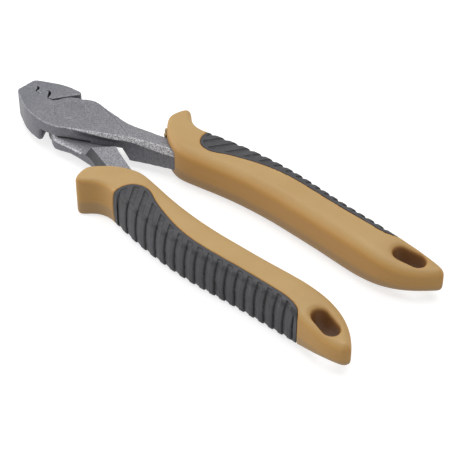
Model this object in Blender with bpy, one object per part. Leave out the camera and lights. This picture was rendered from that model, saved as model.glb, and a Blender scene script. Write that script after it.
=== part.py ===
"""Crimping pliers with moulded two-tone grips.

Two forged levers cross in a lap joint and turn on one flush rivet.
Each lever carries a jaw at the front and a tang inside its handle.
The first lever has two crimping teeth, the second one the two cups that they press into.
Each handle is a firm sleeve with a finger guard and a lanyard hole, and a soft
ribbed grip wraps around its outer side.

Frame: the pliers lie on z = 0 with closed jaws, the handles point to +X and the jaws
to -X. The origin is under the middle of their length. Each piece is drawn about the
rivet: its axis is Z and the lap plane is z = 0 there. The second lever, its handle and
its grip are laid out like the first ones and turned half a turn about X.
"""
import math

import bmesh
import bpy
from mathutils import Vector

# Overall
MM = 0.001
HEAD_HALF_THICKNESS = 0.0050
NECK_HALF_THICKNESS = 0.0038
RUNNING_GAP = 0.0003

# Head and lap joint
JAW_LENGTH = 0.0235
NOSE_HALF_WIDTH = 0.0038
JAW_HALF_WIDTH = 0.0107
DISC_RADIUS = 0.0081
SHOULDER_ANGLE = math.radians(211.1)
SHOULDER_LENGTH = 0.0058
SHOULDER_CORNER_ANGLE = math.radians(240.0)
BLADE_HALF_WIDTH = 0.0098
TAPER_ANGLE = math.radians(4.5)
NECK_STEP_RUN = 0.0038
HAMMERED_BEVEL = 0.0016

# Rivet
RIVET_SHANK_RADIUS = 0.0032
RIVET_HEAD_RADIUS = 0.0052
RIVET_HEAD_DEPTH = 0.0014

# Crimping teeth on the first lever and cups in the second one: place from the nose in percent
# of the jaw's length, and height in millimetres
TOOTH_FRONT = [(8.1, -0.2), (11.5, 0.2), (12.3, 0.9), (14.0, 1.9), (16.2, 2.2),
               (18.3, 1.7), (20.9, 0.8), (23.4, 0.0)]
TOOTH_REAR = [(30.2, 0.0), (32.3, 0.3), (33.6, 1.6), (35.3, 2.9), (38.3, 3.1),
              (41.3, 2.4), (45.1, 1.2), (50.2, 0.1)]
CUP_FRONT = [(8.1, -0.2), (11.5, 0.2), (12.3, 0.9), (13.6, 2.0), (16.6, 2.5),
             (20.9, 2.3), (23.8, 1.4), (24.3, 0.3)]
CUP_REAR = [(30.2, 0.0), (32.3, 0.3), (33.6, 1.6), (34.9, 3.1), (39.1, 3.5),
            (44.7, 3.2), (48.9, 2.2), (51.1, 0.9)]

# Handle sleeve
HANDLE_HALF_THICKNESS = 0.0079
HANDLE_END_HALF_THICKNESS = 0.0046
THINNING_START = 0.119
# Points of the inner and the outer edge in pairs, each with its edge rounding, in millimetres
HANDLE_EDGES = [
    ((30.70, 22.9, 1.5), (30.70, 22.9, 1.5)),
    ((30.55, 21.3, 1.5), (31.10, 24.6, 1.5)),
    ((30.70, 19.7, 1.6), (31.75, 26.0, 1.4)),
    ((31.50, 18.2, 1.8), (32.40, 26.9, 1.4)),
    ((32.80, 16.5, 2.0), (33.20, 27.2, 1.4)),
    ((34.40, 14.8, 2.2), (34.30, 26.9, 1.5)),
    ((36.30, 13.0, 2.4), (35.70, 25.9, 1.7)),
    ((38.60, 11.3, 2.7), (37.30, 24.5, 1.9)),
    ((41.00, 10.0, 3.0), (39.30, 23.3, 2.1)),
    ((43.50, 8.9, 3.4), (41.70, 22.6, 2.2)),
    ((46.00, 8.3, 3.8), (44.50, 22.5, 2.2)),
    ((48.50, 8.3, 4.1), (47.60, 23.1, 2.2)),
    ((51.70, 8.7, 4.3), (51.50, 23.9, 2.2)),
    ((56.30, 9.5, 4.4), (56.50, 24.8, 2.2)),
    ((62.20, 10.6, 4.4), (62.50, 25.7, 2.2)),
    ((69.20, 11.6, 4.4), (69.50, 26.4, 2.2)),
    ((77.20, 12.3, 4.4), (77.50, 26.9, 2.2)),
    ((86.30, 12.6, 4.4), (86.50, 26.9, 2.2)),
    ((96.00, 12.4, 4.4), (96.00, 26.3, 2.2)),
    ((106.0, 12.1, 4.4), (106.0, 25.6, 2.2)),
    ((116.0, 11.6, 4.3), (116.0, 25.2, 2.2)),
    ((125.0, 11.3, 4.2), (125.0, 25.1, 2.3)),
    ((131.0, 11.5, 4.0), (130.5, 25.5, 2.5)),
    ((135.2, 12.2, 3.9), (134.7, 25.9, 2.8)),
    ((139.0, 13.5, 3.7), (138.6, 26.2, 3.1)),
    ((142.1, 15.2, 3.5), (142.2, 26.2, 3.3)),
    ((145.1, 17.5, 3.2), (145.6, 25.8, 3.1)),
    ((148.0, 20.5, 2.7), (148.4, 24.8, 2.7)),
    ((149.8, 22.8, 2.5), (149.8, 22.8, 2.5)),
]
HANDLE_END = HANDLE_EDGES[-1][0][0] * MM
PIVOT = Vector(((JAW_LENGTH - HANDLE_END) / 2, 0.0, HANDLE_HALF_THICKNESS))
EDGE_STEPS = 2
ROUNDING_STEPS = 4

# Lanyard hole through the handle's end
LANYARD_CENTRE = Vector((0.1376, 0.0206))
LANYARD_HALF_LENGTH = 0.0027
LANYARD_RADIUS = 0.0028
LANYARD_TILT = math.radians(14.0)
DISH_WIDTH = 0.0014
DISH_DEPTH = 0.0006

# Soft grip let into the sleeve's outer side
GRIP_DEPTH = 0.0018
GRIP_REACH = 0.034
# Grip boundary on the flat faces, in millimetres, from front to rear
GRIP_EDGE = [
    (47.3, 24.5), (47.5, 21.0), (47.9, 18.6), (49.2, 16.4), (51.4, 15.0), (54.2, 14.6),
    (57.0, 15.3), (61.7, 17.6), (68.2, 19.9), (74.7, 21.7), (81.7, 22.8), (88.7, 23.0),
    (95.7, 22.8), (103.7, 22.4), (113.3, 22.2), (120.7, 22.1), (125.0, 22.4), (128.3, 23.4),
    (130.2, 25.2),
]

# Slanted channels that leave the grip's ribs between them
RIB_SLANT = math.radians(32.5)
RIB_FIRST = 0.0281
RIB_PITCH = 0.00404
RIB_PITCH_CLOSING = 0.0000195
RIB_COUNT = 18
CHANNEL_SHARE = 0.48
CHANNEL_DEPTH = 0.0008
RIM_WIDTH = 0.0013

# Tang inside the handle: centre, half width, and how much thinner it is than the neck, in millimetres
TANG_STATIONS = [
    (36.5, 10.1, 3.4, 0.0),
    (44.0, 12.9, 3.4, 0.1),
    (52.0, 15.6, 3.2, 0.3),
    (64.0, 17.6, 3.0, 0.5),
    (80.0, 18.9, 2.8, 0.8),
    (96.0, 19.0, 2.5, 1.1),
]
TANG_EDGE_CUT = 0.0005


def clear_scene():
    for item in list(bpy.data.objects):
        bpy.data.objects.remove(item, do_unlink=True)


def make_material(name, colour, metallic, roughness):
    material = bpy.data.materials.new(name)
    material.use_nodes = True
    shader = material.node_tree.nodes["Principled BSDF"]
    shader.inputs["Base Color"].default_value = (*colour, 1.0)
    shader.inputs["Metallic"].default_value = metallic
    shader.inputs["Roughness"].default_value = roughness
    return material


def mesh_object(name, vertices, faces):
    """Makes an object from points and faces, welded and with its faces pointing out."""
    shape = bmesh.new()
    points = [shape.verts.new(vertex) for vertex in vertices]
    for face in faces:
        corners = [points[index] for index in face]
        shape.faces.new(corners)
    bmesh.ops.remove_doubles(shape, verts=shape.verts, dist=1e-7)
    bmesh.ops.recalc_face_normals(shape, faces=shape.faces)
    mesh = bpy.data.meshes.new(name)
    shape.to_mesh(mesh)
    shape.free()
    item = bpy.data.objects.new(name, mesh)
    bpy.context.collection.objects.link(item)
    return item


def loft(name, loops):
    """Joins closed loops of points one after another and closes both ends."""
    count = len(loops[0])
    vertices = [point for loop in loops for point in loop]
    faces = []
    for step in range(len(loops) - 1):
        base = step * count
        for index in range(count):
            after = (index + 1) % count
            faces.append((base + index, base + after, base + count + after, base + count + index))
    last = (len(loops) - 1) * count
    faces.append(tuple(range(count)))
    faces.append(tuple(last + index for index in range(count)))
    return mesh_object(name, vertices, faces)


def prism(name, outline, low, high):
    """A straight block with the given plan outline."""
    return loft(name, [[(x, y, z) for x, y in outline] for z in (low, high)])


def as_metres(points):
    return [(x * MM, y * MM) for x, y in points]


def combine(target, cutter, operation):
    """Applies one exact Boolean and removes the second shape."""
    modifier = target.modifiers.new("boolean", "BOOLEAN")
    modifier.operation = operation
    modifier.solver = "EXACT"
    modifier.object = cutter
    graph = bpy.context.evaluated_depsgraph_get()
    result = bpy.data.meshes.new_from_object(target.evaluated_get(graph))
    target.modifiers.clear()
    old = target.data
    target.data = result
    bpy.data.meshes.remove(old)
    bpy.data.objects.remove(cutter, do_unlink=True)
    return target


def weld(item):
    """Joins points that a Boolean left almost on top of each other."""
    shape = bmesh.new()
    shape.from_mesh(item.data)
    bmesh.ops.remove_doubles(shape, verts=shape.verts, dist=2e-6)
    bmesh.ops.dissolve_degenerate(shape, edges=shape.edges, dist=2e-6)
    shape.to_mesh(item.data)
    shape.free()


def curve_through(points, steps):
    """Points on a smooth curve through the given ones, with the same number between each pair."""
    result = []
    size = len(points[0])
    for index in range(len(points) - 1):
        before = points[max(index - 1, 0)]
        start = points[index]
        end = points[index + 1]
        after = points[min(index + 2, len(points) - 1)]
        for step in range(steps):
            t = step / steps
            result.append(tuple(
                0.5 * (2 * start[k] + (end[k] - before[k]) * t
                       + (2 * before[k] - 5 * start[k] + 4 * end[k] - after[k]) * t * t
                       + (3 * start[k] - before[k] - 3 * end[k] + after[k]) * t ** 3)
                for k in range(size)))
    result.append(points[-1])
    return result


def arc(centre, radius, start, end, steps):
    return [(centre[0] + radius * math.cos(start + (end - start) * step / steps),
             centre[1] + radius * math.sin(start + (end - start) * step / steps))
            for step in range(steps + 1)]


def shoulder_point(along, past=0.0):
    """A point on the jaw's straight rear shoulder, which clears the other lever's disc, or one
    past it in the direction that the shoulder's corner turns to."""
    reach = DISC_RADIUS + RUNNING_GAP
    normal = Vector((math.cos(SHOULDER_ANGLE), math.sin(SHOULDER_ANGLE)))
    side = Vector((-normal.y, normal.x))
    turn = Vector((math.cos(SHOULDER_CORNER_ANGLE), math.sin(SHOULDER_CORNER_ANGLE)))
    return tuple(normal * reach + side * along + turn * past)


def along_jaw(share):
    """Place along the jaw, as a share of its length from the nose."""
    return JAW_LENGTH * (share - 1.0)


def jaw_outer_edge():
    """Outer edge of the jaw from the nose to the lap joint."""
    bend = [
        (along_jaw(0.0), -NOSE_HALF_WIDTH + 0.0004),
        (along_jaw(0.017), -NOSE_HALF_WIDTH - 0.0004),
        (along_jaw(0.072), -NOSE_HALF_WIDTH - 0.0014),
        (along_jaw(0.213), -JAW_HALF_WIDTH + 0.0038),
        (along_jaw(0.391), -JAW_HALF_WIDTH + 0.0018),
        (along_jaw(0.587), -JAW_HALF_WIDTH + 0.0005),
        (along_jaw(0.732), -JAW_HALF_WIDTH),
    ]
    return curve_through(bend, 2)


def blade_near_edge():
    """Near edge of the lap blade, from the jaw round to the straight run along the neck."""
    return [
        (-0.0034, -JAW_HALF_WIDTH - 0.0001),
        (-0.0010, -JAW_HALF_WIDTH),
        (0.0015, -JAW_HALF_WIDTH + 0.0005),
        (0.0040, -JAW_HALF_WIDTH + 0.0014),
        (0.0066, -0.0077),
    ]


NECK_NEAR_EDGE = as_metres([(14.0, -3.9), (21.4, -0.2), (24.6, 1.6), (28.2, 3.5), (34.0, 5.9), (38.4, 7.5)])
NECK_FAR_EDGE = as_metres([(35.6, 13.5), (31.8, 12.3), (28.0, 11.2), (24.0, 10.0), (20.0, 9.3), (14.0, 9.5),
                           (8.4, 9.9), (5.0, 10.3), (2.6, 10.2), (0.7, 9.5), (-1.2, 8.4)])


def mating_edge(front_shape, rear_shape):
    """Closing edge of a jaw from the nose to the lap disc."""
    points = [(along_jaw(share / 100.0), y * MM) for share, y in [(0.0, -0.3)] + front_shape + rear_shape]
    return points + [(-DISC_RADIUS - 0.0009, 0.0006)]


def lever_outline(edge):
    jaw = jaw_outer_edge()
    disc = arc((0.0, 0.0), DISC_RADIUS, math.radians(100.0), math.radians(168.0), 8)
    return list(reversed(edge)) + jaw + blade_near_edge() + NECK_NEAR_EDGE + NECK_FAR_EDGE + disc


def shifted(points, dy):
    return [(x, y + dy) for x, y in points]


def tang_loops(growth, extra_front, extra_rear):
    """Cross-sections of the tang, grown all round by a clearance where a socket is cut."""
    stations = curve_through(TANG_STATIONS, 3)
    stations = [tuple(value * MM for value in station) for station in stations]
    loops = []
    for index, (x, y, half_width, thinner) in enumerate(stations):
        before = Vector(stations[max(index - 1, 0)][:2])
        after = Vector(stations[min(index + 1, len(stations) - 1)][:2])
        along = (after - before).normalized()
        side = Vector((-along.y, along.x))
        centre = Vector((x, y))
        if index == 0:
            centre -= along * extra_front
        if index == len(stations) - 1:
            centre += along * extra_rear
        wide = half_width + growth
        tall = NECK_HALF_THICKNESS - thinner + growth
        cut = TANG_EDGE_CUT
        corners = [(wide - cut, tall), (wide, tall - cut), (wide, cut - tall), (wide - cut, -tall),
                   (cut - wide, -tall), (-wide, cut - tall), (-wide, tall - cut), (cut - wide, tall)]
        loops.append([(*(centre + side * across), z) for across, z in corners])
    return loops


def rivet_profile(growth):
    """Half profile of the rivet, radius and height, from top to bottom."""
    top = HEAD_HALF_THICKNESS + (0.002 if growth else 0.0)
    shank = RIVET_SHANK_RADIUS + growth
    head = RIVET_HEAD_RADIUS + growth
    shelf = HEAD_HALF_THICKNESS - RIVET_HEAD_DEPTH
    return [(head, top), (head, HEAD_HALF_THICKNESS - 0.0004), (shank, shelf),
            (shank, -shelf), (head, 0.0004 - HEAD_HALF_THICKNESS), (head, -top)]


def turned(name, profile, segments):
    """A solid of revolution about Z."""
    loops = []
    for radius, z in profile:
        loops.append([(radius * math.cos(math.tau * k / segments), radius * math.sin(math.tau * k / segments), z)
                      for k in range(segments)])
    return loft(name, loops)


def make_lever(name, edge):
    """One forged lever in its own frame: jaw below, lap blade on top, neck and tang above."""
    lever = prism(name, lever_outline(edge), -HEAD_HALF_THICKNESS, HEAD_HALF_THICKNESS)
    lap = RUNNING_GAP / 2
    corner = shoulder_point(SHOULDER_LENGTH)
    inner = shoulder_point(-0.0042)
    beyond = shoulder_point(SHOULDER_LENGTH, 0.0030)
    run = NECK_STEP_RUN
    top = [inner, corner, beyond, (0.030, -0.014), (0.0262, -0.0030), (0.0250, 0.0020),
           (0.0170, 0.0103), (0.0158, 0.0160), (-0.0120, 0.0160), (-0.0100, 0.0024)]
    deep = [(x + (run if 0.012 < x < 0.028 else 0.0), y) for x, y in top]
    pocket = loft("pocket", [[(*point, lap) for point in top],
                             [(*point, -HEAD_HALF_THICKNESS - 0.001) for point in deep]])
    combine(lever, pocket, "DIFFERENCE")
    for sign in (1.0, -1.0):
        combine(lever, taper_cutter(sign), "DIFFERENCE")
    combine(lever, loft("tang", tang_loops(0.0, 0.0, 0.0)), "UNION")
    combine(lever, turned("bore", rivet_profile(RUNNING_GAP), 32), "DIFFERENCE")
    weld(lever)
    return lever


def taper_cutter(sign):
    """Wedge that thins the neck towards the handle, from an oblique ridge on the head."""
    start = Vector((0.0090, 0.0096))
    end = Vector((0.0268, 0.0026))
    along = (end - start).normalized()
    across = Vector((-along.y, along.x))
    drop = math.tan(TAPER_ANGLE)
    length = 0.060
    face = HEAD_HALF_THICKNESS
    shelf = NECK_HALF_THICKNESS
    run = (face - shelf) / drop
    section = [(0.0, face), (run, shelf), (length, shelf), (length, 2 * face), (0.0, 2 * face)]
    loops = []
    for reach in (-0.030, 0.060):
        base = start + along * reach
        loops.append([(*(base + across * out), sign * z) for out, z in section])
    return loft("taper", loops)


def bevel_far_edge(lever):
    """Hammered bevel along the far edge of the lap blade, on its lap side."""
    path = [(-6.5, 4.0), (-1.2, 8.4), (2.6, 10.2), (8.4, 9.9), (14.0, 9.5), (19.0, 8.7)]
    path = as_metres(path)
    loops = []
    for index, point in enumerate(path):
        before = Vector(path[max(index - 1, 0)])
        after = Vector(path[min(index + 1, len(path) - 1)])
        along = (after - before).normalized()
        side = Vector((-along.y, along.x)) * HAMMERED_BEVEL
        centre = Vector(point)
        lap = RUNNING_GAP / 2
        loops.append([(*(centre + side), lap), (*centre, lap + HAMMERED_BEVEL),
                      (*(centre - side), lap), (*centre, lap - HAMMERED_BEVEL)])
    combine(lever, loft("bevel", loops), "DIFFERENCE")
    weld(lever)


def half_thickness_at(x):
    """Half thickness of the sleeve, which thins towards the lanyard hole."""
    t = min(max((x - THINNING_START) / (HANDLE_END - THINNING_START), 0.0), 1.0)
    blend = t * t * (3 - 2 * t)
    return HANDLE_HALF_THICKNESS + (HANDLE_END_HALF_THICKNESS - HANDLE_HALF_THICKNESS) * blend


def edge_normals(points, flip):
    normals = []
    for index in range(len(points)):
        before = Vector(points[max(index - 1, 0)][:2])
        after = Vector(points[min(index + 1, len(points) - 1)][:2])
        along = (after - before).normalized()
        normals.append(Vector((along.y, -along.x)) * flip)
    return normals


def handle_loops(inset, first, last):
    """Cross-sections of the handle's outer shape, moved in by an inset."""
    inner = [tuple(v * MM for v in p) for p in curve_through([pair[0] for pair in HANDLE_EDGES], EDGE_STEPS)]
    outer = [tuple(v * MM for v in p) for p in curve_through([pair[1] for pair in HANDLE_EDGES], EDGE_STEPS)]
    inner_normals = edge_normals(inner, 1.0)
    outer_normals = edge_normals(outer, -1.0)
    for index, near, sign in ((0, 1, -1.0), (-1, -2, 1.0)):
        across = (Vector(outer[near][:2]) - Vector(inner[near][:2])).normalized()
        inner_normals[index] = outer_normals[index] = Vector((across.y, -across.x)) * sign
    loops = []
    for index in range(first, last + 1):
        loop = []
        for points, normals, order in ((inner, inner_normals, 1), (outer, outer_normals, -1)):
            x, y, radius = points[index]
            normal = normals[index]
            radius = max(radius - inset, 0.0004)
            tall = half_thickness_at(x) - inset
            base = Vector((x, y)) - normal * inset
            column = []
            for step in range(2 * ROUNDING_STEPS + 2):
                quarter = step if step <= ROUNDING_STEPS else step - 1
                angle = math.pi / 2 * (1 - quarter / ROUNDING_STEPS)
                ease = radius * (1 - math.cos(angle))
                level = (tall - radius) * (1 if step <= ROUNDING_STEPS else -1) + radius * math.sin(angle)
                column.append((*(base - normal * ease), level))
            loop.extend(column[::order])
        loops.append(loop)
    return loops


def handle_body(name, inset, first=0, last=None):
    if last is None:
        last = (len(HANDLE_EDGES) - 1) * EDGE_STEPS
    return loft(name, handle_loops(inset, first, last))


def offset_open(points, distance):
    """Moves an open line sideways, to its left when the distance is positive."""
    result = []
    for index, point in enumerate(points):
        before = Vector(points[max(index - 1, 0)])
        after = Vector(points[min(index + 1, len(points) - 1)])
        along = (after - before).normalized()
        result.append(tuple(Vector(point) + Vector((-along.y, along.x)) * distance))
    return result


def grip_window(name, growth):
    """Block over the grip's area, grown outwards by a clearance or inwards by a rim."""
    edge = as_metres(curve_through(GRIP_EDGE, 2))
    edge = offset_open(edge, -growth)
    high = HANDLE_HALF_THICKNESS + 0.003
    outline = [(edge[0][0], GRIP_REACH)] + edge + [(edge[-1][0], GRIP_REACH)]
    return prism(name, outline, -high, high)


def grip_core(name, depth):
    """Handle shape under the grip, between the two ends of the grip's area."""
    return handle_body(name, depth, 10 * EDGE_STEPS, 24 * EDGE_STEPS)


def channel_blocks():
    """Slanted blocks, one for each channel between two ribs."""
    high = HANDLE_HALF_THICKNESS + 0.002
    across = Vector((math.cos(RIB_SLANT), -math.sin(RIB_SLANT)))
    along = Vector((math.sin(RIB_SLANT), math.cos(RIB_SLANT)))
    vertices = []
    faces = []
    for index in range(RIB_COUNT):
        start = RIB_FIRST + RIB_PITCH * index - RIB_PITCH_CLOSING * index * index
        width = (RIB_PITCH - 2 * RIB_PITCH_CLOSING * index) * CHANNEL_SHARE
        corners = [across * start + along * 0.0, across * (start + width) + along * 0.0,
                   across * (start + width) + along * 0.12, across * start + along * 0.12]
        base = len(vertices)
        vertices += [(*corner, z) for z in (-high, high) for corner in corners]
        faces += [(base, base + 1, base + 2, base + 3), (base + 4, base + 5, base + 6, base + 7)]
        faces += [(base + k, base + (k + 1) % 4, base + 4 + (k + 1) % 4, base + 4 + k) for k in range(4)]
    return mesh_object("channels", vertices, faces)


def lanyard_cutter(name, growth, low, high):
    """Oval prism along the lanyard hole."""
    along = Vector((math.cos(LANYARD_TILT), math.sin(LANYARD_TILT)))
    radius = LANYARD_RADIUS + growth
    outline = []
    for sign in (1.0, -1.0):
        centre = LANYARD_CENTRE + along * LANYARD_HALF_LENGTH * sign
        start = LANYARD_TILT - math.pi / 2 * sign
        outline += arc(centre, radius, start, start + math.pi, 8)
    return prism(name, outline, low, high)


def make_sleeve(name):
    sleeve = handle_body(name, 0.0)
    recess = grip_window("recess", RUNNING_GAP)
    combine(recess, grip_core("core", GRIP_DEPTH + RUNNING_GAP), "DIFFERENCE")
    combine(sleeve, recess, "DIFFERENCE")
    combine(sleeve, loft("socket", tang_loops(RUNNING_GAP, 0.010, RUNNING_GAP)), "DIFFERENCE")
    high = HANDLE_HALF_THICKNESS + 0.002
    combine(sleeve, lanyard_cutter("hole", 0.0, -high, high), "DIFFERENCE")
    rim = half_thickness_at(LANYARD_CENTRE.x)
    for sign in (1.0, -1.0):
        ends = sorted((sign * high, sign * (rim - DISH_DEPTH)))
        combine(sleeve, lanyard_cutter("dish", DISH_WIDTH, *ends), "DIFFERENCE")
    weld(sleeve)
    return sleeve


def make_grip(name):
    grip = handle_body(name, 0.0, 10 * EDGE_STEPS, 24 * EDGE_STEPS)
    combine(grip, grip_window("window", 0.0), "INTERSECT")
    combine(grip, grip_core("core", GRIP_DEPTH), "DIFFERENCE")
    channels = channel_blocks()
    combine(channels, grip_window("field", -RIM_WIDTH), "INTERSECT")
    combine(channels, grip_core("floor", CHANNEL_DEPTH), "DIFFERENCE")
    combine(grip, channels, "DIFFERENCE")
    weld(grip)
    return grip


def finish(item, material, turned_over):
    """Gives a part its material and sets it on the rivet's axis, turned over where it belongs below."""
    item.data.materials.clear()
    item.data.materials.append(material)
    for polygon in item.data.polygons:
        polygon.material_index = 0
    item.data.shade_smooth()
    item.data.set_sharp_from_angle(angle=math.radians(35.0))
    item.location = PIVOT
    if turned_over:
        item.rotation_euler = (math.pi, 0.0, 0.0)


def second_copy(name, source, material):
    item = bpy.data.objects.new(name, source.data)
    bpy.context.collection.objects.link(item)
    finish(item, material, True)
    return item


def main():
    clear_scene()
    steel = make_material("blasted forged steel", (0.216, 0.216, 0.227), 1.0, 0.55)
    tan = make_material("tan nylon", (0.527, 0.361, 0.162), 0.0, 0.5)
    rubber = make_material("dark grey rubber", (0.071, 0.071, 0.08), 0.0, 0.75)

    gap = RUNNING_GAP / 2
    first_edge = shifted(mating_edge(TOOTH_FRONT, TOOTH_REAR), -gap)
    second_edge = [(x, -y) for x, y in shifted(mating_edge(CUP_FRONT, CUP_REAR), gap)]
    lever_a = make_lever("jaw_lever_a", first_edge)
    finish(lever_a, steel, False)
    lever_b = make_lever("jaw_lever_b", second_edge)
    bevel_far_edge(lever_b)
    finish(lever_b, steel, True)
    rivet = turned("pivot_rivet", rivet_profile(0.0), 32)
    finish(rivet, steel, False)

    sleeve = make_sleeve("handle_a")
    finish(sleeve, tan, False)
    second_copy("handle_b", sleeve, tan)
    grip = make_grip("grip_inlay_a")
    finish(grip, rubber, False)
    second_copy("grip_inlay_b", grip, rubber)


main()
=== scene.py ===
import math

import bpy
import numpy as np
from mathutils import Matrix, Vector, noise


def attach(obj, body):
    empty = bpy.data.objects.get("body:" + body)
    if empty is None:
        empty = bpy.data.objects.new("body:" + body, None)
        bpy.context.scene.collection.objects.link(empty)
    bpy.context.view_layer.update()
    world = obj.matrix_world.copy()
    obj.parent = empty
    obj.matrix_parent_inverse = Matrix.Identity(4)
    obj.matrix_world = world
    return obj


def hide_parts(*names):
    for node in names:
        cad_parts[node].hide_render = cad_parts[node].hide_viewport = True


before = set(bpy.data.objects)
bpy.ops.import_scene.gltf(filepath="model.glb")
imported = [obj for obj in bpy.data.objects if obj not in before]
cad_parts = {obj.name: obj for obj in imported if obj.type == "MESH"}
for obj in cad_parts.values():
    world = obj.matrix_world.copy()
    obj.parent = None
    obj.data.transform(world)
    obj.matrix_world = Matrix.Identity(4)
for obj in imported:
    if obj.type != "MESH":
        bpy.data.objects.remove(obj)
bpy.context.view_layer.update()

# Pieces are drawn in millimetres about the rivet and are set in place at the end
pivot = Vector((-0.06315, 0.0, 0.0079))
gap = 0.12      # between two pieces that touch, mm


def deselectAll():
    if bpy.context.object and bpy.context.object.mode != "OBJECT":
        bpy.ops.object.mode_set(mode="OBJECT")
    bpy.ops.object.select_all(action="DESELECT")


def pick(piece):
    deselectAll()
    piece.select_set(True)
    bpy.context.view_layer.objects.active = piece


def useModifier(piece, kind, **settings):
    pick(piece)
    step = piece.modifiers.new(kind.lower(), kind)
    for key, value in settings.items():
        setattr(step, key, value)
    bpy.ops.object.modifier_apply(modifier=step.name)


def cutWith(piece, cutter, operation="DIFFERENCE"):
    useModifier(piece, "BOOLEAN", object=cutter, operation=operation, solver="EXACT")
    bpy.data.objects.remove(cutter, do_unlink=True)


def outwards(piece):
    pick(piece)
    bpy.ops.object.mode_set(mode="EDIT")
    bpy.ops.mesh.select_all(action="SELECT")
    bpy.ops.mesh.remove_doubles(threshold=0.0005)
    bpy.ops.mesh.normals_make_consistent(inside=False)
    bpy.ops.object.mode_set(mode="OBJECT")


def plate(name, outline, low, high):
    # a closed outline, drawn flat and extruded
    bpy.ops.mesh.primitive_circle_add(vertices=len(outline), fill_type="NGON")
    piece = bpy.context.object
    piece.name = name
    for vertex, point in zip(piece.data.vertices, outline):
        vertex.co = (point[0], point[1], low)
    bpy.ops.object.mode_set(mode="EDIT")
    bpy.ops.mesh.select_all(action="SELECT")
    bpy.ops.mesh.extrude_region_move(TRANSFORM_OT_translate={"value": (0, 0, high - low)})
    outwards(piece)
    return piece


def skin(name, rings):
    # a closed body over rings of points
    around = len(rings[0])
    bpy.ops.mesh.primitive_grid_add(x_subdivisions=around, y_subdivisions=len(rings) - 1)
    piece = bpy.context.object
    piece.name = name
    for index, vertex in enumerate(piece.data.vertices):
        row, column = divmod(index, around + 1)
        vertex.co = rings[row][column % around]
    bpy.ops.object.mode_set(mode="EDIT")
    bpy.ops.mesh.select_all(action="SELECT")
    bpy.ops.mesh.remove_doubles(threshold=0.0001)
    bpy.ops.mesh.select_all(action="SELECT")
    bpy.ops.mesh.fill_holes(sides=0)
    outwards(piece)
    return piece


def smoothLine(points, steps, closed=False):
    # a smooth line through points of any number of values
    count = len(points)
    line = []
    for index in range(count if closed else count - 1):
        p = []
        for offset in (-1, 0, 1, 2):
            k = index + offset
            p.append(points[k % count] if closed else points[min(max(k, 0), count - 1)])
        for step in range(steps):
            t = step / steps
            line.append(tuple(0.5 * (2 * b + (c - a) * t + (2 * a - 5 * b + 4 * c - d) * t * t
                                     + (3 * b - a - 3 * c + d) * t ** 3)
                              for a, b, c, d in zip(*p)))
    if not closed:
        line.append(tuple(points[-1]))
    return line


def sideways(points, index):
    before = Vector(points[max(index - 1, 0)][:2])
    after = Vector(points[min(index + 1, len(points) - 1)][:2])
    along = (after - before).normalized()
    return Vector((-along.y, along.x))


def soften(piece, voxel, rounds):
    # an even fine skin, its edges rounded as forging, blasting or moulding leaves them
    useModifier(piece, "REMESH", mode="VOXEL", voxel_size=voxel)
    useModifier(piece, "SMOOTH", factor=0.5, iterations=rounds)


def surface(piece):
    # places and normals of all points, in millimetres
    mesh = piece.data
    place = np.empty(len(mesh.vertices) * 3)
    normal = np.empty(len(mesh.vertices) * 3)
    mesh.vertices.foreach_get("co", place)
    mesh.vertices.foreach_get("normal", normal)
    return place.reshape(-1, 3), normal.reshape(-1, 3)


def moveTo(piece, place):
    piece.data.vertices.foreach_set("co", place.ravel())
    piece.data.update()


def paint(piece, name, values):
    # a value for each point, which the materials read
    if name not in piece.data.attributes:
        piece.data.attributes.new(name, "FLOAT", "POINT")
    piece.data.attributes[name].data.foreach_set("value", values)


def painted(piece, name):
    values = np.empty(len(piece.data.vertices))
    piece.data.attributes[name].data.foreach_get("value", values)
    return values


def edgeLines(piece):
    # how sharply the surface turns at each point: above 0.5 on outer edges, below in corners
    mesh = piece.data
    count = len(mesh.vertices)
    place, normal = surface(piece)
    pair = np.empty(len(mesh.edges) * 2, dtype=int)
    mesh.edges.foreach_get("vertices", pair)
    a, b = pair.reshape(-1, 2).T
    near = np.bincount(a, minlength=count) + np.bincount(b, minlength=count)
    middle = np.stack([(np.bincount(a, place[b, k], count) + np.bincount(b, place[a, k], count)) / near
                       for k in range(3)], axis=1)
    bend = ((place - middle) * normal).sum(axis=1)
    for _ in range(3):
        bend = 0.5 * bend + 0.5 * (np.bincount(a, bend[b], count) + np.bincount(b, bend[a], count)) / near
    paint(piece, "edge", np.clip(0.5 + bend * 12.0, 0.0, 1.0))


def ease(low, high, value):
    t = np.clip((value - low) / (high - low), 0.0, 1.0)
    return t * t * (3 - 2 * t)


def distanceTo(place, line):
    # plan distance of each point from a line of points
    best = np.full(len(place), 1e9)
    for (x0, y0, *_), (x1, y1, *_) in zip(line, line[1:]):
        dx, dy = x1 - x0, y1 - y0
        t = np.clip(((place[:, 0] - x0) * dx + (place[:, 1] - y0) * dy) / (dx * dx + dy * dy), 0.0, 1.0)
        best = np.minimum(best, np.hypot(place[:, 0] - x0 - t * dx, place[:, 1] - y0 - t * dy))
    return best


def dent(piece, depth):
    # small uneven dents, as deep as given for each point
    place, normal = surface(piece)
    rise = np.array([noise.noise(Vector(p) * 0.9) * 0.6 + noise.noise(Vector(p) * 2.2) * 0.4
                     for p in place])
    moveTo(piece, place + normal * (rise * depth)[:, None])


def setInPlace(piece, material, body, nodes, turnedOver=False):
    turn = Matrix.Rotation(math.pi, 4, "X") if turnedOver else Matrix.Identity(4)
    piece.data.transform(Matrix.Translation(pivot) @ turn @ Matrix.Scale(0.001, 4))
    piece.data.materials.clear()
    piece.data.materials.append(material)
    pick(piece)
    bpy.ops.object.shade_smooth()
    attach(piece, body)
    if nodes:
        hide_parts(*nodes)


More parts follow.
